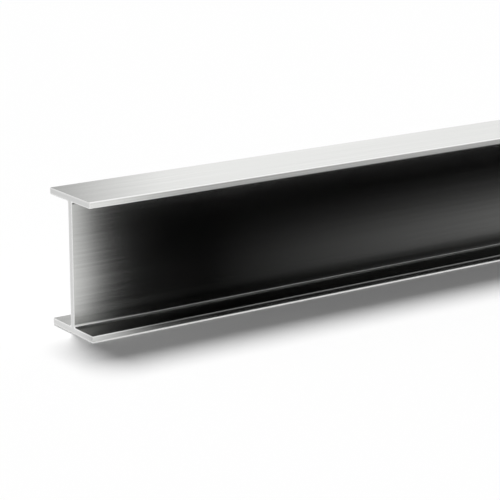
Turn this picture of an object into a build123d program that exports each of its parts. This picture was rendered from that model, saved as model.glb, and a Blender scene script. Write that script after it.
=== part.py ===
"""One stock length of H-beam: two flanges joined by a web, all one piece, standing on its lower flange.

The beam runs along X. Y is across the flanges and Z is up, with the origin at the middle of the foot.
"""

import os

from build123d import *

# Driving dimensions, in millimetres.
LENGTH = 3000.0  # one stock length, sawn square at both ends
DEPTH = 200.0  # over both flanges
FLANGE_WIDTH = 110.0
FLANGE_THICKNESS = 10.0
WEB_THICKNESS = 10.0
ROOT_RADIUS = 4.0  # hollow round where the web runs into a flange
TOE_RADIUS = 2.0  # rounded long edges of the flanges
END_CHAMFER = 0.8  # deburred rim of each sawn end

NEAR_END = -LENGTH / 2
FLANGE_CENTRES = (FLANGE_THICKNESS / 2, DEPTH - FLANGE_THICKNESS / 2)

os.makedirs("parts", exist_ok=True)

with BuildPart() as h_beam:
    # The section is drawn on the near end, with its own x across the flanges and its own y up from the foot.
    with BuildSketch(Plane.YZ.offset(NEAR_END)) as section:
        with Locations((0, DEPTH / 2)):
            Rectangle(WEB_THICKNESS, DEPTH)
        with Locations(*[(0, height) for height in FLANGE_CENTRES]):
            Rectangle(FLANGE_WIDTH, FLANGE_THICKNESS)
        # From left to right, the corners stand in four files: toes, roots, roots, toes.
        left_toes, left_roots, right_roots, right_toes = section.vertices().group_by(Axis.X)
        fillet(left_roots + right_roots, radius=ROOT_RADIUS)
        fillet(left_toes + right_toes, radius=TOE_RADIUS)
    extrude(amount=LENGTH)

    # Both sawn ends have their sharp rim taken off all the way round.
    sawn_ends = h_beam.faces().filter_by(Axis.X)
    chamfer(sawn_ends.edges(), length=END_CHAMFER)

h_beam.part.label = "h_beam"
export_step(h_beam.part, "parts/h_beam.step")
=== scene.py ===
"""One length of brushed steel H-beam: its swept section, its finish, and the pale studio that it stands in.

The file is laid out as an add-on and is run as a script. Lengths are metres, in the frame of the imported
model: the beam runs along X, Y is across its flanges, and it stands on Z = 0.
"""

import math
from typing import NamedTuple

import bpy
from bpy.props import FloatProperty, FloatVectorProperty, IntProperty, PointerProperty
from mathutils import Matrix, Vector


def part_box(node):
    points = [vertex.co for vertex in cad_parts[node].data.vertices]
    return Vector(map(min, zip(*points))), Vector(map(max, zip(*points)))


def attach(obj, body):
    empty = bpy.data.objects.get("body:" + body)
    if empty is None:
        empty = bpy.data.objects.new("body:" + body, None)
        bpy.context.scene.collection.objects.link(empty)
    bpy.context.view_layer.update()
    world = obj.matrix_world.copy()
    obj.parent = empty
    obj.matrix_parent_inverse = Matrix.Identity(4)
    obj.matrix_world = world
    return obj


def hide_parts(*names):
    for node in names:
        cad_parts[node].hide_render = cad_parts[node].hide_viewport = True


bl_info = {
    "name": "Brushed H-beam",
    "version": (1, 0, 0),
    "blender": (4, 5, 0),
    "location": "3D View > Sidebar > H-beam",
    "description": "Sweeps an H section into a brushed steel beam and stands it in a pale studio",
    "category": "Object",
}

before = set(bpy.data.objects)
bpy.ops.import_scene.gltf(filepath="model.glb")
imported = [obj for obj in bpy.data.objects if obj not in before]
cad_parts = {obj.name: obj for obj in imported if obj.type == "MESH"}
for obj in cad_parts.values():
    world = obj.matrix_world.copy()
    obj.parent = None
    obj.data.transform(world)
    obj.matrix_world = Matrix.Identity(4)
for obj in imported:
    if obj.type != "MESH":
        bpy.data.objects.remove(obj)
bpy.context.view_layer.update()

NODE = "h_beam"
BODY = "root"
PIECE = "brushed_h_beam"

BEAM_LOW, BEAM_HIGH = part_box(NODE)
BEAM_SIZE = BEAM_HIGH - BEAM_LOW
NEAR, FRONT, FOOT = BEAM_LOW
FAR, BACK, TOP = BEAM_HIGH

# The corners up one side of the H: how far out each is, and at which level.
HALF_OUTLINE = (
    ("toe", "foot"),
    ("toe", "low"),
    ("root", "low"),
    ("root", "high"),
    ("toe", "high"),
    ("toe", "top"),
)

# The lengths that the sweep's tree takes, in the order of its inputs.
TREE_LENGTHS = (
    "Length",
    "Depth",
    "Flange Width",
    "Flange Thickness",
    "Web Thickness",
    "Root Radius",
    "Toe Radius",
    "End Chamfer",
)

# The mesh and its UV map.
EXTRA_RINGS = 3  # beyond one for each pitch: one closes the last pitch, and one lies on each end
PLAIN_RING = 2  # counted from 0, the first ring that no chamfer touches
FLAT_FACE_WEIGHT = 100  # how far large faces outweigh small ones in the evened normals, where 50 is neutral
UV_MAP = "OFBake"
SWEPT_SHARE = 0.89  # how much of the map's height the swept faces take; the sawn ends lie above them
MAP_MARGIN = 0.01

# The brushed faces.
MID_TONE = 0.5
HAIRLINE_TONE = 0.35
STREAK_TONE = 0.6
BAND_TONE = 0.2
STROKE_DETAIL = 2.0
BAND_DETAIL = 1.0
SMUDGE_DETAIL = 3.0
SMUDGE_SIZE = (0.22, 0.09, 0.09)
ROUGH_SWING = 0.03  # how far the hairlines, the streaks and the smudges each move the roughness
STREAK_HEIGHT = 0.8  # as a share of the hairlines' height
BURNISH_GAIN = 1.6  # how soon a rounded edge is wholly burnished
BURNISH_POLISH = 0.3  # how much of the roughness burnishing takes away

# The sawn ends.
SAW_BOW = 1.5  # how fast a saw mark rises with the square of its distance from the middle
SAW_DRIFT = 3.0  # how far the marks wander, in radians of their wave
DRIFT_SIZE = (0.02, 0.05, 0.004)
CUT_SIZE = (0.02, 0.08, 0.006)
CUT_DETAIL = 2.0
MARK_DEPTH = 0.6  # as a share of the saw height
MARK_UNEVEN = 0.5  # how far that share varies over the cut
MARK_TONE = 0.3
CUT_TONE = 0.3
CUT_ROUGH = 0.06

# The floor and the cards over it. The cards show only in reflections, where they paint reflections and
# highlights into the steel.
FLOOR_LEVEL = FOOT - 0.0002
FLOOR_REACH = 60.0
UNDER_FOOT = FOOT - 0.0001
ON_FLOOR = FOOT + 0.0004
# The light line round the foot is a painted highlight, which only reflections show.
FOOT_LINE = 0.0055  # how far the light line round the foot stands out from the beam
# The strip that the lower flange mirrors is a painted reflection, which only reflections show.
FOOT_STRIP = 0.031  # how far the strip that the lower flange mirrors reaches from the beam
PAST_ENDS = (NEAR - 0.01, FAR + 0.01)
ONE_REFLECTION = 1.5  # a ray deeper than this shows a reflection of a reflection


class Card(NamedTuple):
    """A sheet that only reflections show, which paints a reflection or highlight into the steel: its fold
    across the beam, its reach and its greys along it.

    Foot greys, where a card has them, take over towards the floor.
    Echoes say, along X, how bright a reflection of a reflection shows the upper part of the card: below 1
    they paint shade, as on the lower flange's top where it mirrors the web.
    A card with a distance in within shows only its front, only in what lies that near, and in no echo.
    """

    name: str
    fold: tuple
    reach: tuple
    greys: tuple
    foot_greys: tuple = ()
    echoes: tuple = ()
    within: float = 0.0


def from_near(*stops):
    """Greys, each at its distance along X from the near end."""
    return tuple((NEAR + distance, grey) for distance, grey in stops)


def from_far(*stops):
    """Greys, each at its distance along X from the far end."""
    return tuple((FAR + distance, grey) for distance, grey in stops)


# The near end of the web's painted dark reflection, fading from light to dark.
NEAR_FADE = from_near((-0.04, 0.90), (-0.01, 0.60), (0.02, 0.16), (0.045, 0.04), (0.08, 0.008))
# Echoes below 1 paint shade into reflections of reflections of the cards.
FRONT_ECHOES = from_near((0.9, 0.12)) + from_far((-0.3, 1.0))
BACK_ECHOES = from_near((0.0, 0.5)) + from_far((0.0, 0.5))

CARDS = (
    # The web mirrors a dark flag that starts light at the near end: a painted dark reflection, from a sheet
    # that only reflections show, in a studio that is otherwise white.
    Card(
        name="web_card",
        fold=((FRONT - FOOT_STRIP, ON_FLOOR), (FRONT - 0.145, ON_FLOOR), (FRONT - 0.030, TOP - 0.032)),
        reach=(NEAR - 0.15, FAR - 0.03),
        greys=NEAR_FADE
        + from_near((0.13, 0.001), (0.90, 0.002), (1.7, 0.12))
        + from_far((-0.3, 0.35), (-0.05, 0.8)),
        foot_greys=NEAR_FADE
        + from_near((0.22, 0.004), (0.50, 0.06), (0.90, 0.15), (1.7, 0.30))
        + from_far((-0.3, 0.45), (-0.05, 0.8)),
        echoes=FRONT_ECHOES,
    ),
    # The upper flange's lower round mirrors a light strip hung under it: a painted highlight, from a strip
    # that only reflections show.
    Card(
        name="lip_card",
        fold=((FRONT - 0.0005, TOP - 0.0115), (FRONT - 0.040, TOP - 0.0235)),
        reach=PAST_ENDS,
        greys=from_near((-0.06, 1.0), (0.03, 1.0), (0.07, 0.8), (0.14, 0.55), (0.22, 0.46))
        + from_far((-0.2, 0.46), (0.0, 0.9)),
        echoes=FRONT_ECHOES,
    ),
    # The lower flange's edge mirrors a strip laid on the floor beside the foot: a painted reflection that
    # darkens along X more slowly than the shaded floor.
    Card(
        name="foot_card",
        fold=((FRONT - FOOT_LINE, ON_FLOOR), (FRONT - FOOT_STRIP, ON_FLOOR)),
        reach=PAST_ENDS,
        greys=from_near(
            (-0.06, 0.95), (-0.029, 0.69), (0.003, 0.50), (0.0365, 0.24), (0.07, 0.095),
            (0.11, 0.04), (0.17, 0.012), (0.90, 0.005), (1.3, 0.2),
        )
        + from_far((-0.05, 0.7)),
    ),
    # The lower flange's upper round mirrors a light strip hung beside it: a painted highlight, from a strip
    # that only reflections show.
    Card(
        name="toe_card",
        fold=((FRONT - 0.004, FOOT + 0.020), (FRONT - 0.030, FOOT + 0.0106)),
        reach=PAST_ENDS,
        greys=from_near(
            (-0.044, 1.0), (-0.016, 1.0), (0.016, 0.75), (0.049, 0.32), (0.083, 0.22), (0.116, 0.15),
        )
        + from_far((-0.2, 0.15), (0.0, 0.7)),
        within=0.04,
    ),
    # The lower root mirrors a short light strip hung in front of the near end: a painted highlight, from a
    # strip that only reflections show.
    Card(
        name="root_card",
        fold=((FRONT - 0.002, FOOT + 0.090), (FRONT - 0.075, FOOT + 0.090)),
        reach=(NEAR, NEAR + 0.2),
        greys=from_near(
            (-0.03, 1.0), (0.01, 1.0), (0.036, 0.75), (0.063, 0.42), (0.09, 0.22), (0.13, 0.05), (0.2, 0.01),
        ),
        within=0.3,
    ),
    # The foot's own edges mirror a light line on the floor all round: a painted highlight, from a line that
    # only reflections show, brighter than the shaded floor at the foot.
    Card(
        name="rim_card",
        fold=((FRONT - FOOT_LINE, UNDER_FOOT), (BACK + FOOT_LINE, UNDER_FOOT)),
        reach=(NEAR - FOOT_LINE, FAR + FOOT_LINE),
        greys=((NEAR, 1.0), (FAR, 1.0)),
    ),
    # The upper flange's edge mirrors a grey mat in front of the beam: a painted reflection, from a mat that
    # only reflections show.
    Card(
        name="mat_card",
        fold=((FRONT - 0.265, ON_FLOOR), (FRONT - 1.245, ON_FLOOR)),
        reach=(NEAR, FAR),
        greys=from_near((-0.14, 1.0), (-0.10, 0.97), (-0.05, 0.76), (0.01, 0.52), (0.08, 0.45))
        + from_far((0.0, 0.45)),
    ),
    # The top mirrors a screen behind the beam, which is greyer at the near end: a painted reflection, from a
    # screen that only reflections show.
    Card(
        name="back_card",
        fold=((BACK + 0.345, FOOT + 0.10), (BACK + 0.345, FOOT + 0.60)),
        reach=(NEAR - 0.35, FAR + 0.35),
        greys=from_near(
            (-0.63, 1.0), (-0.40, 0.83), (-0.22, 0.55), (-0.10, 0.50), (-0.054, 0.55), (-0.013, 0.68),
            (0.046, 0.82), (0.122, 0.97), (0.20, 1.0), (0.50, 1.0), (1.0, 0.96),
        )
        + from_far((0.0, 0.96)),
        echoes=BACK_ECHOES,
    ),
    # The back of the web mirrors a mat that is greyest halfway along: a painted reflection, from a mat that
    # only reflections show.
    Card(
        name="rear_card",
        fold=((BACK + FOOT_LINE, ON_FLOOR), (BACK + 1.2, ON_FLOOR)),
        reach=(NEAR, FAR),
        greys=from_near((0.0, 0.95), (0.35, 0.62), (1.5, 0.45)) + from_far((-0.35, 0.62), (0.0, 0.95)),
    ),
)


def metres(name, description, default):
    """A length that a user may change."""
    return FloatProperty(
        name=name, description=description, default=default, min=0.0, precision=4, unit="LENGTH"
    )


def share(name, description, default):
    """A plain number from 0 to 1."""
    return FloatProperty(
        name=name, description=description, default=default, min=0.0, max=1.0, subtype="FACTOR"
    )


def level(name, description, default):
    """A brightness, where 1 is white."""
    return FloatProperty(name=name, description=description, default=default, min=0.0)


def colour(name, description, default):
    """A linear colour."""
    return FloatVectorProperty(
        name=name, description=description, default=default, size=3, min=0.0, max=1.0, subtype="COLOR"
    )


def angle(name, description, degrees):
    """An angle, given here in degrees."""
    return FloatProperty(name=name, description=description, default=math.radians(degrees), subtype="ANGLE")


class BeamSizes(bpy.types.PropertyGroup):
    """The beam's own sizes."""

    length: metres("Length", "One stock length, sawn square at both ends", BEAM_SIZE.x)
    depth: metres("Depth", "Height over both flanges", BEAM_SIZE.z)
    flange_width: metres("Flange width", "Width of each flange", BEAM_SIZE.y)
    flange_thickness: metres("Flange thickness", "Thickness of each flange", 0.010)
    web_thickness: metres("Web thickness", "Thickness of the web", 0.010)
    root_radius: metres("Root radius", "Hollow round where the web runs into a flange", 0.004)
    toe_radius: metres("Toe radius", "Round of the flanges' long edges", 0.002)
    end_chamfer: metres("End chamfer", "Rim taken off each sawn end", 0.0008)
    ring_pitch: metres("Ring pitch", "Distance between the mesh's rings along the beam", 0.1)
    arc_points: IntProperty(
        name="Arc points", description="Points round each corner", default=9, min=2, max=24
    )


class SteelFinish(bpy.types.PropertyGroup):
    """The brushed faces and the sawn ends."""

    pale_steel: colour("Pale steel", "The brightest brushed strokes", (0.80, 0.804, 0.787))
    deep_steel: colour("Deep steel", "The dullest brushed strokes", (0.685, 0.689, 0.672))
    edge_steel: colour("Edge steel", "The edges, burnished by handling", (0.93, 0.93, 0.925))
    scuff: share("Scuff", "How matt the edges are scuffed at the foot, fading to none at the top", 0.3)
    satin: share("Satin", "Mean roughness of the brushed faces", 0.195)
    stroke_length: metres("Stroke length", "How far one brushed stroke runs along the beam", 0.4)
    hairline: metres("Hairline", "Width of the finest brushed strokes", 0.0011)
    streak: metres("Streak", "Width of the broader streaks between them", 0.004)
    band: metres("Band", "Width of the faint tone bands", 0.035)
    grain_height: metres("Grain height", "Height of the brushed strokes", 0.000008)
    saw_pitch: metres("Saw pitch", "Distance between the saw's marks on the ends", 0.0016)
    saw_height: metres("Saw height", "Height of the saw's marks on the ends", 0.00004)
    sawn: share("Sawn", "Mean roughness of the sawn ends", 0.36)
    rim_width: metres("Rim width", "How far in from its rim a sawn end is polished by deburring", 0.0028)
    pale_rim: colour("Pale rim", "The deburred rim of a sawn end", (0.84, 0.84, 0.835))
    pale_cut: colour("Pale cut", "The brightest of the saw's marks", (0.69, 0.69, 0.685))
    dull_cut: colour("Dull cut", "The dullest of the saw's marks", (0.58, 0.58, 0.575))


class StudioSetup(bpy.types.PropertyGroup):
    """The floor, the light, the reflection cards and the camera."""

    floor_colour: colour("Floor", "The matt floor's own colour", (0.92, 0.92, 0.92))
    floor_lift: level("Floor lift", "Light that the floor adds for the eye and for reflections", 0.075)
    fill_level: level("Fill", "Light from all round, as a share of white", 0.14)
    key_level: level("Key", "Light from the large soft lamp overhead, as a share of white", 0.86)
    key_spread: angle("Key spread", "How large the soft lamp looks from the beam", 22.0)
    key_tilt: angle("Key tilt", "How far the soft lamp leans behind the beam", 29.0)
    key_swing: angle("Key swing", "How far the soft lamp leans towards the far end", 10.5)
    card_slant: FloatProperty(
        name="Card slant", description="How far the cards' greys lag in X for each metre in Y", default=0.7
    )
    foot_fade: metres("Foot fade", "How high above the floor a card's foot greys reach", 0.115)
    echo_from: metres("Echo from", "How high on a card its echoes start to dim", 0.061)
    camera_azimuth: angle("Azimuth", "Heading of the camera round the beam", -34.84)
    camera_elevation: angle("Elevation", "How far the camera looks down", 15.15)
    camera_place: FloatVectorProperty(
        name="Camera place",
        description="Where the camera stands from the foot of the near end",
        default=(-1.309, -2.3146, 0.8382),
        size=3,
        unit="LENGTH",
    )
    lens: FloatProperty(name="Lens", description="Focal length in millimetres", default=142.75, min=1.0)


class Graph:
    """Adds nodes to one node tree."""

    def __init__(self, tree):
        self.tree = tree
        tree.nodes.clear()

    def feed(self, socket, value):
        """Links a number or a socket to an input, or sets the input's own value."""
        if isinstance(value, Number):
            value = value.socket
        if isinstance(value, bpy.types.NodeSocket):
            self.tree.links.new(value, socket)
        else:
            socket.default_value = value

    def node(self, kind, settings=None, sockets=None):
        """A new node: its settings come first, then the value or link of each named or numbered input."""
        made = self.tree.nodes.new(kind)
        for name, value in (settings or {}).items():
            if name == "stops":
                self.set_stops(made.color_ramp, value)
            else:
                setattr(made, name, value)
        for key, value in (sockets or {}).items():
            self.feed(made.inputs[key], value)
        return made

    def set_stops(self, ramp, stops):
        """Gives a ramp its stops: (place from 0 to 1, grey)."""
        while len(ramp.elements) < len(stops):
            ramp.elements.new(1.0)
        for element, (place, grey) in zip(ramp.elements, stops):
            element.position = place
            element.color = (grey, grey, grey, 1.0)

    def number(self, kind, settings=None, sockets=None, output=0):
        """One output of a new node, as a number that sums can be written with."""
        return Number(self, self.node(kind, settings, sockets).outputs[output])

    def vector(self, operation, *terms):
        """A sum on vectors."""
        made = self.node("ShaderNodeVectorMath", {"operation": operation}, dict(enumerate(terms)))
        return made.outputs[0]

    def joined(self, x, y, z):
        """A vector from three numbers."""
        return self.node("ShaderNodeCombineXYZ", None, {"X": x, "Y": y, "Z": z}).outputs[0]

    def split(self, vector):
        """A vector's three numbers."""
        made = self.node("ShaderNodeSeparateXYZ", None, {0: vector})
        return [Number(self, socket) for socket in made.outputs]

    def mixed_colour(self, factor, first, second):
        """A colour between two others."""
        sockets = {"Factor_Float": factor, "A_Color": first, "B_Color": second}
        made = self.node("ShaderNodeMix", {"data_type": "RGBA"})
        for socket in made.inputs:
            if socket.identifier in sockets:
                self.feed(socket, sockets[socket.identifier])
        return next(socket for socket in made.outputs if socket.identifier == "Result_Color")


class Number:
    """A number that a node gives. Each sum on it adds a Math node to the same tree."""

    def __init__(self, graph, socket):
        self.graph = graph
        self.socket = socket

    def maths(self, operation, *terms):
        return self.graph.number("ShaderNodeMath", {"operation": operation}, dict(enumerate(terms)))

    def __add__(self, other):
        return self.maths("ADD", self, other)

    def __radd__(self, other):
        return self.maths("ADD", other, self)

    def __sub__(self, other):
        return self.maths("SUBTRACT", self, other)

    def __rsub__(self, other):
        return self.maths("SUBTRACT", other, self)

    def __mul__(self, other):
        return self.maths("MULTIPLY", self, other)

    def __rmul__(self, other):
        return self.maths("MULTIPLY", other, self)

    def __truediv__(self, other):
        return self.maths("DIVIDE", self, other)

    def __rtruediv__(self, other):
        return self.maths("DIVIDE", other, self)

    def __neg__(self):
        return self.maths("MULTIPLY", self, -1.0)

    def __abs__(self):
        return self.maths("ABSOLUTE", self)

    def __lt__(self, other):
        return self.maths("LESS_THAN", self, other)

    def __gt__(self, other):
        return self.maths("GREATER_THAN", self, other)

    def at_least(self, other):
        return self.maths("MAXIMUM", self, other)

    def at_most(self, other):
        return self.maths("MINIMUM", self, other)

    def clamped(self):
        return self.at_least(0.0).at_most(1.0)

    def wave(self):
        return self.maths("SINE", self)


def rounded_section(graph, size):
    """The H outline as a closed curve with rounded corners, and the way that each of its points faces."""
    # The sweep turns the section half a turn, so the outline is drawn upside down.
    reach = {"toe": size["Flange Width"] / 2, "root": size["Web Thickness"] / 2}
    height = {
        "foot": 0.0,
        "low": -size["Flange Thickness"],
        "high": size["Flange Thickness"] - size["Depth"],
        "top": -size["Depth"],
    }
    corners = [graph.joined(-reach[out], height[up], 0.0) for out, up in HALF_OUTLINE]
    corners += [graph.joined(reach[out], height[up], 0.0) for out, up in reversed(HALF_OUTLINE)]
    chosen = graph.node("GeometryNodeIndexSwitch", {"data_type": "VECTOR"})
    while len(chosen.index_switch_items) < len(corners):
        chosen.index_switch_items.new()
    graph.feed(chosen.inputs["Index"], graph.number("GeometryNodeInputIndex"))
    for number, corner in enumerate(corners):
        graph.feed(chosen.inputs[str(number)], corner)
    ring = graph.node("GeometryNodeCurvePrimitiveCircle", {"mode": "RADIUS"}, {"Resolution": len(corners)})
    outline = graph.node(
        "GeometryNodeSetPosition", None, {"Geometry": ring.outputs["Curve"], "Position": chosen.outputs[0]}
    )

    # A corner in the inner half of the flange's width is a root, and any other is a toe.
    out, _, _ = graph.split(graph.node("GeometryNodeInputPosition").outputs[0])
    at_root = abs(out) < size["Flange Width"] / 4
    radius = size["Toe Radius"] + at_root * (size["Root Radius"] - size["Toe Radius"])
    rounded = graph.node(
        "GeometryNodeFilletCurve",
        {"mode": "POLY"},
        {"Curve": outline.outputs[0], "Count": size["Arc Points"], "Radius": radius},
    )
    facing = graph.node("GeometryNodeCaptureAttribute", {"domain": "POINT"})
    facing.capture_items.new("VECTOR", "Outward")
    graph.feed(facing.inputs["Geometry"], rounded.outputs[0])
    graph.feed(facing.inputs["Outward"], graph.node("GeometryNodeInputNormal").outputs["Normal"])
    return facing.outputs["Geometry"], facing.outputs["Outward"]


def ringed_path(graph, size):
    """A line along X with one point for each ring of the mesh."""
    # The first and last ring lie on the ends, and their neighbours one chamfer further in.
    half = size["Length"] / 2
    inner = half - size["End Chamfer"]
    index = graph.number("GeometryNodeInputIndex")
    along = (index - 1.0) / (size["Rings"] - EXTRA_RINGS) * inner * 2.0 - inner
    place = graph.joined(along.at_least(-half).at_most(half), 0.0, 0.0)
    line = graph.node("GeometryNodeCurvePrimitiveLine", {"mode": "POINTS"}, {"End": (1.0, 0.0, 0.0)})
    rings = graph.node(
        "GeometryNodeResampleCurve", {"mode": "COUNT"}, {"Curve": line.outputs[0], "Count": size["Rings"]}
    )
    path = graph.node("GeometryNodeSetPosition", None, {"Geometry": rings.outputs[0], "Position": place})
    return path.outputs[0]


def swept_section_tree():
    """A tree that rounds the corners of an H outline, sweeps it along X and takes the rim off both ends."""
    tree = bpy.data.node_groups.new("Swept H section", "GeometryNodeTree")
    for name in TREE_LENGTHS:
        tree.interface.new_socket(name, in_out="INPUT", socket_type="NodeSocketFloat").subtype = "DISTANCE"
    for name in ("Arc Points", "Rings"):
        tree.interface.new_socket(name, in_out="INPUT", socket_type="NodeSocketInt")
    for name in ("Brushed", "Sawn"):
        tree.interface.new_socket(name, in_out="INPUT", socket_type="NodeSocketMaterial")
    tree.interface.new_socket("Geometry", in_out="OUTPUT", socket_type="NodeSocketGeometry")

    graph = Graph(tree)
    given = graph.node("NodeGroupInput").outputs
    size = {socket.name: Number(graph, socket) for socket in given if socket.type in ("VALUE", "INT")}
    section, outward = rounded_section(graph, size)
    swept = graph.node(
        "GeometryNodeCurveToMesh",
        None,
        {"Curve": ringed_path(graph, size), "Profile Curve": section, "Fill Caps": True},
    )

    # Only the rings on the ends lie within a quarter of a chamfer of them. The half turn of the sweep makes
    # what faces outward on the section an offset inward on the beam.
    lengthwise, _, _ = graph.split(graph.node("GeometryNodeInputPosition").outputs[0])
    on_end = abs(lengthwise) > size["Length"] / 2 - size["End Chamfer"] / 4
    across, up, _ = graph.split(outward)
    inward = graph.joined(0.0, across * size["End Chamfer"], up * size["End Chamfer"])
    rimmed = graph.node(
        "GeometryNodeSetPosition",
        None,
        {"Geometry": swept.outputs[0], "Selection": on_end, "Offset": inward},
    )
    smooth = graph.node("GeometryNodeSetShadeSmooth", None, {"Geometry": rimmed.outputs[0]})
    whole = graph.node("GeometryNodeRealizeInstances", None, {"Geometry": smooth.outputs[0]})
    brushed = graph.node(
        "GeometryNodeSetMaterial", None, {"Geometry": whole.outputs[0], "Material": given["Brushed"]}
    )
    sawn = graph.node(
        "GeometryNodeSetMaterial",
        None,
        {"Geometry": brushed.outputs[0], "Selection": on_end, "Material": given["Sawn"]},
    )
    graph.node("NodeGroupOutput", None, {"Geometry": sawn.outputs[0]})
    return tree


def fresh_graph(owner):
    """The emptied graph of a new material or world."""
    owner.use_nodes = True
    return Graph(owner.node_tree)


def opaque(tint):
    """A colour as a socket takes it, with nothing of it see-through."""
    return (*tint, 1.0)


def steel_material(name):
    """An empty steel material: its graph and its shader, joined to the output."""
    material = bpy.data.materials.new(name)
    graph = fresh_graph(material)
    shader = graph.node("ShaderNodeBsdfPrincipled", None, {"Metallic": 1.0})
    graph.node("ShaderNodeOutputMaterial", None, {"Surface": shader.outputs[0]})
    return material, graph, shader


def add_relief(graph, shader, height):
    """Raises a steel surface by a height that varies over it."""
    relief = graph.node("ShaderNodeBump", None, {"Strength": 1.0, "Distance": 1.0, "Height": height})
    graph.feed(shader.inputs["Normal"], relief.outputs[0])


def noise(graph, place, stretch, detail):
    """Noise from -1 to 1 whose cells are about as large as stretch, in metres."""
    scaled = graph.vector("DIVIDE", place, stretch)
    sockets = {"Vector": scaled, "Scale": 1.0, "Detail": detail}
    return graph.number("ShaderNodeTexNoise", {"noise_dimensions": "3D"}, sockets, "Fac") * 2.0 - 1.0


def rounded_edges(graph):
    """1 on the rounded and chamfered edges, where the surface faces between two axes, and 0 on flats."""
    facing = graph.node("ShaderNodeTexCoord").outputs["Normal"]
    x, y, z = [abs(part) for part in graph.split(facing)]
    turned = (1.0 - x.at_least(y).at_least(z)) / (1.0 - math.sqrt(0.5))
    return (turned * BURNISH_GAIN).at_most(1.0)


def brushed_steel(finish):
    """Steel brushed along its length: hairlines, broader streaks and faint bands, with soft smudges."""
    material, graph, shader = steel_material("Brushed steel")
    place = graph.node("ShaderNodeTexCoord").outputs["Object"]
    _, _, up = graph.split(place)

    def strokes(width, detail):
        return noise(graph, place, (finish.stroke_length, width, width), detail)

    hairlines = strokes(finish.hairline, STROKE_DETAIL)
    streaks = strokes(finish.streak, STROKE_DETAIL)
    bands = strokes(finish.band, BAND_DETAIL)
    smudges = noise(graph, place, SMUDGE_SIZE, SMUDGE_DETAIL)
    burnish = rounded_edges(graph)

    tone = MID_TONE + hairlines * HAIRLINE_TONE + streaks * STREAK_TONE + bands * BAND_TONE
    brushed = graph.mixed_colour(tone.clamped(), opaque(finish.deep_steel), opaque(finish.pale_steel))
    steel = graph.mixed_colour(burnish, brushed, opaque(finish.edge_steel))
    rough = finish.satin + hairlines * ROUGH_SWING + streaks * ROUGH_SWING + smudges * ROUGH_SWING
    graph.feed(shader.inputs["Base Color"], steel)
    graph.feed(shader.inputs["Metallic"], 1.0 - burnish * (1.0 - up / TOP) * finish.scuff)
    graph.feed(shader.inputs["Roughness"], rough * (1.0 - burnish * BURNISH_POLISH))
    add_relief(graph, shader, (hairlines + streaks * STREAK_HEIGHT) * finish.grain_height)
    return material


def depth_in_section(across, up, sizes):
    """How far a place on a sawn end lies inside the rim of the H, in a flange or in the web."""
    in_depth = up.at_most(sizes.depth - up)
    in_width = sizes.flange_width / 2 - abs(across)
    in_flange = in_width.at_most(in_depth).at_most(sizes.flange_thickness - in_depth)
    in_web = (sizes.web_thickness / 2 - abs(across)).at_most(in_depth)
    return in_flange.at_least(in_web)


def sawn_steel(finish, sizes):
    """The bare cut: the saw's fine lines, uneven in depth and slightly bowed, with a pale rim."""
    material, graph, shader = steel_material("Sawn steel")
    place = graph.node("ShaderNodeTexCoord").outputs["Object"]
    _, across, up = graph.split(place)
    rim = (1.0 - depth_in_section(across, up, sizes) / finish.rim_width).at_least(0.0)
    bow = across * across * SAW_BOW
    drift = noise(graph, place, DRIFT_SIZE, CUT_DETAIL)
    lines = ((up + bow) * (2.0 * math.pi / finish.saw_pitch) + drift * SAW_DRIFT).wave()
    depth = noise(graph, place, CUT_SIZE, CUT_DETAIL)
    marks = lines * (MARK_DEPTH + depth * MARK_UNEVEN)

    tone = MID_TONE + marks * MARK_TONE + depth * CUT_TONE
    cut = graph.mixed_colour(tone.clamped(), opaque(finish.dull_cut), opaque(finish.pale_cut))
    graph.feed(shader.inputs["Base Color"], graph.mixed_colour(rim, cut, opaque(finish.pale_rim)))
    graph.feed(shader.inputs["Roughness"], finish.sawn + depth * CUT_ROUGH)
    add_relief(graph, shader, marks * finish.saw_height)
    return material


def plain_mesh(name, tree, values):
    """Runs a tree on an empty object, evens its normals and returns the plain mesh that comes out."""
    maker = bpy.data.objects.new(name, bpy.data.meshes.new(name))
    bpy.context.scene.collection.objects.link(maker)
    sweep = maker.modifiers.new("Sweep", "NODES")
    sweep.node_group = tree
    for item in tree.interface.items_tree:
        if item.in_out == "INPUT":
            sweep[item.identifier] = values[item.name]
    maker.modifiers.new("Flat faces", "WEIGHTED_NORMAL").weight = FLAT_FACE_WEIGHT
    graph = bpy.context.evaluated_depsgraph_get()
    mesh = bpy.data.meshes.new_from_object(maker.evaluated_get(graph), depsgraph=graph)
    mesh.name = name
    bpy.data.objects.remove(maker)
    return mesh


def between(low, high, part):
    """A number that lies part of the way from one to another."""
    return low + (high - low) * part


def unroll(mesh, sizes):
    """Gives a swept mesh its UV map: the swept faces with their length along U, and the ends above them."""
    around = max(len(face.vertices) for face in mesh.polygons)
    ring = [vertex.co for vertex in mesh.vertices[PLAIN_RING * around:(PLAIN_RING + 1) * around]]
    reached = [0.0]
    for here, following in zip(ring, ring[1:] + ring[:1]):
        reached.append(reached[-1] + (following - here).length)

    uv_map = mesh.uv_layers.new(name=UV_MAP)
    for face in mesh.polygons:
        numbers = [vertex % around for vertex in face.vertices]
        closes_ring = 0 in numbers and around - 1 in numbers
        for loop, vertex, number in zip(face.loop_indices, face.vertices, numbers):
            x, y, z = mesh.vertices[vertex].co
            if len(numbers) == around:
                left = MAP_MARGIN if x < 0.0 else 0.5 + MAP_MARGIN
                u = between(left, left + 0.5 - 2 * MAP_MARGIN, z / sizes.depth)
                v = between(SWEPT_SHARE + MAP_MARGIN, 1.0 - MAP_MARGIN, y / sizes.flange_width + 0.5)
            else:
                u = x / sizes.length + 0.5
                v = reached[around if closes_ring and number == 0 else number] / reached[-1] * SWEPT_SHARE
            uv_map.uv[loop].vector = (u, v)


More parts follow.
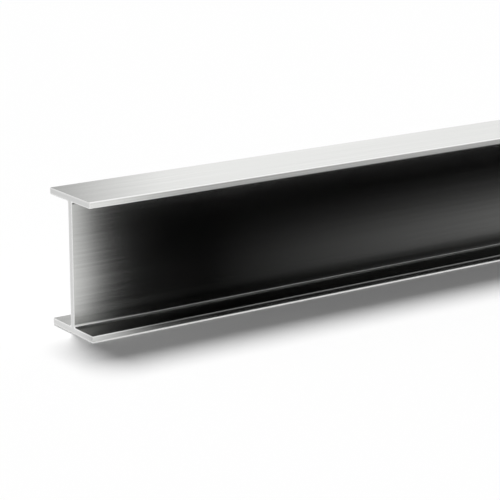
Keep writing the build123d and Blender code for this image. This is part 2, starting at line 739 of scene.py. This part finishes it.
class HBEAM_OT_sweep_beam(bpy.types.Operator):
    """Sweep the H section into one brushed beam that stands for the plain solid"""

    bl_idname = "h_beam.sweep_beam"
    bl_label = "Sweep the beam"

    def execute(self, context):
        sizes = context.scene.h_beam_sizes
        finish = context.scene.h_beam_finish
        values = {
            "Length": sizes.length,
            "Depth": sizes.depth,
            "Flange Width": sizes.flange_width,
            "Flange Thickness": sizes.flange_thickness,
            "Web Thickness": sizes.web_thickness,
            "Root Radius": sizes.root_radius,
            "Toe Radius": sizes.toe_radius,
            "End Chamfer": sizes.end_chamfer,
            "Arc Points": sizes.arc_points,
            "Rings": round(sizes.length / sizes.ring_pitch) + EXTRA_RINGS,
            "Brushed": brushed_steel(finish),
            "Sawn": sawn_steel(finish, sizes),
        }
        mesh = plain_mesh(PIECE, swept_section_tree(), values)
        if not mesh.polygons:
            raise RuntimeError("the swept section gave no faces")
        unroll(mesh, sizes)
        beam = bpy.data.objects.new(PIECE, mesh)
        context.scene.collection.objects.link(beam)
        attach(beam, BODY)
        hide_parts(NODE)
        return {"FINISHED"}


def stage_sheet(name, fold, reach, material):
    """A sheet of the stage: a line in Y and Z, folded at its points, drawn out along X."""
    points = [(x, y, z) for y, z in fold for x in reach]
    faces = [(2 * i, 2 * i + 1, 2 * i + 3, 2 * i + 2) for i in range(len(fold) - 1)]
    mesh = bpy.data.meshes.new(name)
    mesh.from_pydata(points, [], faces)
    mesh.materials.append(material)
    sheet = bpy.data.objects.new(name, mesh)
    bpy.context.scene.collection.objects.link(sheet)
    return sheet


def seen_rays(graph):
    """1 for what the eye, a reflection or glass shows, and 0 for light that falls on matt things."""
    path = graph.node("ShaderNodeLightPath").outputs
    kinds = ("Is Camera Ray", "Is Glossy Ray", "Is Transmission Ray")
    eye, mirror, glass = [Number(graph, path[kind]) for kind in kinds]
    return eye.at_least(mirror).at_least(glass)


def pale_floor(studio):
    """A matt pale floor that shows as white where nothing shades it."""
    material = bpy.data.materials.new("Pale floor")
    graph = fresh_graph(material)
    matt = graph.node("ShaderNodeBsdfDiffuse", None, {"Color": opaque(studio.floor_colour)})
    lift = graph.node("ShaderNodeEmission", None, {"Strength": seen_rays(graph) * studio.floor_lift})
    both = graph.node("ShaderNodeAddShader", None, {0: matt.outputs[0], 1: lift.outputs[0]})
    graph.node("ShaderNodeOutputMaterial", None, {"Surface": both.outputs[0]})
    material.cycles.emission_sampling = "NONE"
    return material


def white_surround(studio):
    """A world that shows as white and gives the fill light."""
    world = bpy.data.worlds.new("White surround")
    graph = fresh_graph(world)
    strength = studio.fill_level + seen_rays(graph) * (1.0 - studio.fill_level)
    sky = graph.node("ShaderNodeBackground", None, {"Color": (1.0, 1.0, 1.0, 1.0), "Strength": strength})
    graph.node("ShaderNodeOutputWorld", None, {"Surface": sky.outputs[0]})
    world.cycles.sampling_method = "NONE"
    return world


def card_material(card, studio):
    """A card's greys, read along X and slanted with Y, which paint a reflection and dim, as painted shade,
    where a reflection is itself reflected.
    """
    material = bpy.data.materials.new(card.name)
    graph = fresh_graph(material)
    x, y, z = graph.split(graph.node("ShaderNodeTexCoord").outputs["Object"])
    along = x - abs(y) * studio.card_slant

    def graded(greys):
        first, last = greys[0][0], greys[-1][0]
        stops = [((place - first) / (last - first), grey) for place, grey in greys]
        part = (along - first) / (last - first)
        return graph.node("ShaderNodeValToRGB", {"stops": stops}, {"Fac": part}).outputs[0]

    shade = graded(card.greys)
    if card.foot_greys:
        lowness = (1.0 - z / studio.foot_fade).at_least(0.0)
        shade = graph.mixed_colour(lowness * lowness, shade, graded(card.foot_greys))
    echoed = graph.number("ShaderNodeLightPath", output="Ray Depth") > ONE_REFLECTION
    strength = 1.0
    # Echoes paint shade: a card shows dimmer in a reflection of a reflection.
    if card.echoes:
        dimming = 1.0 - Number(graph, graded(card.echoes))
        strength = 1.0 - echoed * (z > studio.echo_from) * dimming
    surface = graph.node("ShaderNodeEmission", None, {"Color": shade, "Strength": strength}).outputs[0]
    if card.within:
        too_far = graph.number("ShaderNodeLightPath", output="Ray Length") > card.within
        behind = graph.number("ShaderNodeNewGeometry", output="Backfacing")
        unseen = too_far.at_least(echoed).at_least(behind)
        clear = graph.node("ShaderNodeBsdfTransparent").outputs[0]
        surface = graph.node("ShaderNodeMixShader", None, {0: unseen, 1: surface, 2: clear}).outputs[0]
    graph.node("ShaderNodeOutputMaterial", None, {"Surface": surface})
    material.cycles.emission_sampling = "NONE"
    return material


def hang_card(card, studio):
    """Hangs one card, which only reflections show, to paint a reflection or highlight into the steel."""
    sheet = stage_sheet(card.name, card.fold, card.reach, card_material(card, studio))
    sheet.visible_camera = False
    sheet.visible_diffuse = False
    sheet.visible_shadow = False
    sheet.visible_transmission = False


def soft_key(studio):
    """The large soft lamp overhead, which no reflection shows."""
    key = bpy.data.objects.new("soft_key", bpy.data.lights.new("soft_key", "SUN"))
    to_key = Vector((math.tan(studio.key_swing), math.tan(studio.key_tilt), 1.0)).normalized()
    key.data.energy = math.pi * studio.key_level / to_key.z
    key.data.angle = studio.key_spread
    key.visible_glossy = False
    key.rotation_euler = to_key.to_track_quat("Z", "Y").to_euler()
    return key


def studio_camera(studio):
    """The camera, which stands off the foot of the near end."""
    camera = bpy.data.objects.new("camera", bpy.data.cameras.new("camera"))
    camera.data.lens = studio.lens
    near_foot = Vector((NEAR, (FRONT + BACK) / 2, FOOT))
    camera.location = near_foot + Vector(studio.camera_place)
    camera.rotation_euler = (math.pi / 2 - studio.camera_elevation, 0.0, studio.camera_azimuth)
    return camera


class HBEAM_OT_set_studio(bpy.types.Operator):
    """Set up the floor, the reflection cards, the soft light and the camera"""

    bl_idname = "h_beam.set_studio"
    bl_label = "Set the studio"

    def execute(self, context):
        scene = context.scene
        studio = scene.h_beam_studio
        floor_line = ((-FLOOR_REACH, FLOOR_LEVEL), (FLOOR_REACH, FLOOR_LEVEL))
        stage_sheet("floor", floor_line, (-FLOOR_REACH, FLOOR_REACH), pale_floor(studio))
        scene.world = white_surround(studio)
        for card in CARDS:
            hang_card(card, studio)

        scene.collection.objects.link(soft_key(studio))
        camera = studio_camera(studio)
        scene.collection.objects.link(camera)
        scene.camera = camera
        scene.view_settings.view_transform = "Standard"
        return {"FINISHED"}


class HBEAM_PT_sidebar(bpy.types.Panel):
    """The beam's sizes, finish and studio, with a button for each step"""

    bl_label = "H-beam"
    bl_idname = "HBEAM_PT_sidebar"
    bl_space_type = "VIEW_3D"
    bl_region_type = "UI"
    bl_category = "H-beam"

    def draw(self, context):
        scene = context.scene
        for group, operator in (
            (scene.h_beam_sizes, None),
            (scene.h_beam_finish, HBEAM_OT_sweep_beam.bl_idname),
            (scene.h_beam_studio, HBEAM_OT_set_studio.bl_idname),
        ):
            box = self.layout.box()
            for name in group.__annotations__:
                box.prop(group, name)
            if operator:
                box.operator(operator)


CLASSES = (BeamSizes, SteelFinish, StudioSetup, HBEAM_OT_sweep_beam, HBEAM_OT_set_studio, HBEAM_PT_sidebar)


def register():
    for cls in CLASSES:
        bpy.utils.register_class(cls)
    bpy.types.Scene.h_beam_sizes = PointerProperty(type=BeamSizes)
    bpy.types.Scene.h_beam_finish = PointerProperty(type=SteelFinish)
    bpy.types.Scene.h_beam_studio = PointerProperty(type=StudioSetup)


def unregister():
    del bpy.types.Scene.h_beam_studio
    del bpy.types.Scene.h_beam_finish
    del bpy.types.Scene.h_beam_sizes
    for cls in reversed(CLASSES):
        bpy.utils.unregister_class(cls)


def main():
    register()
    bpy.ops.h_beam.sweep_beam()
    bpy.ops.h_beam.set_studio()


if __name__ == "__main__":
    main()
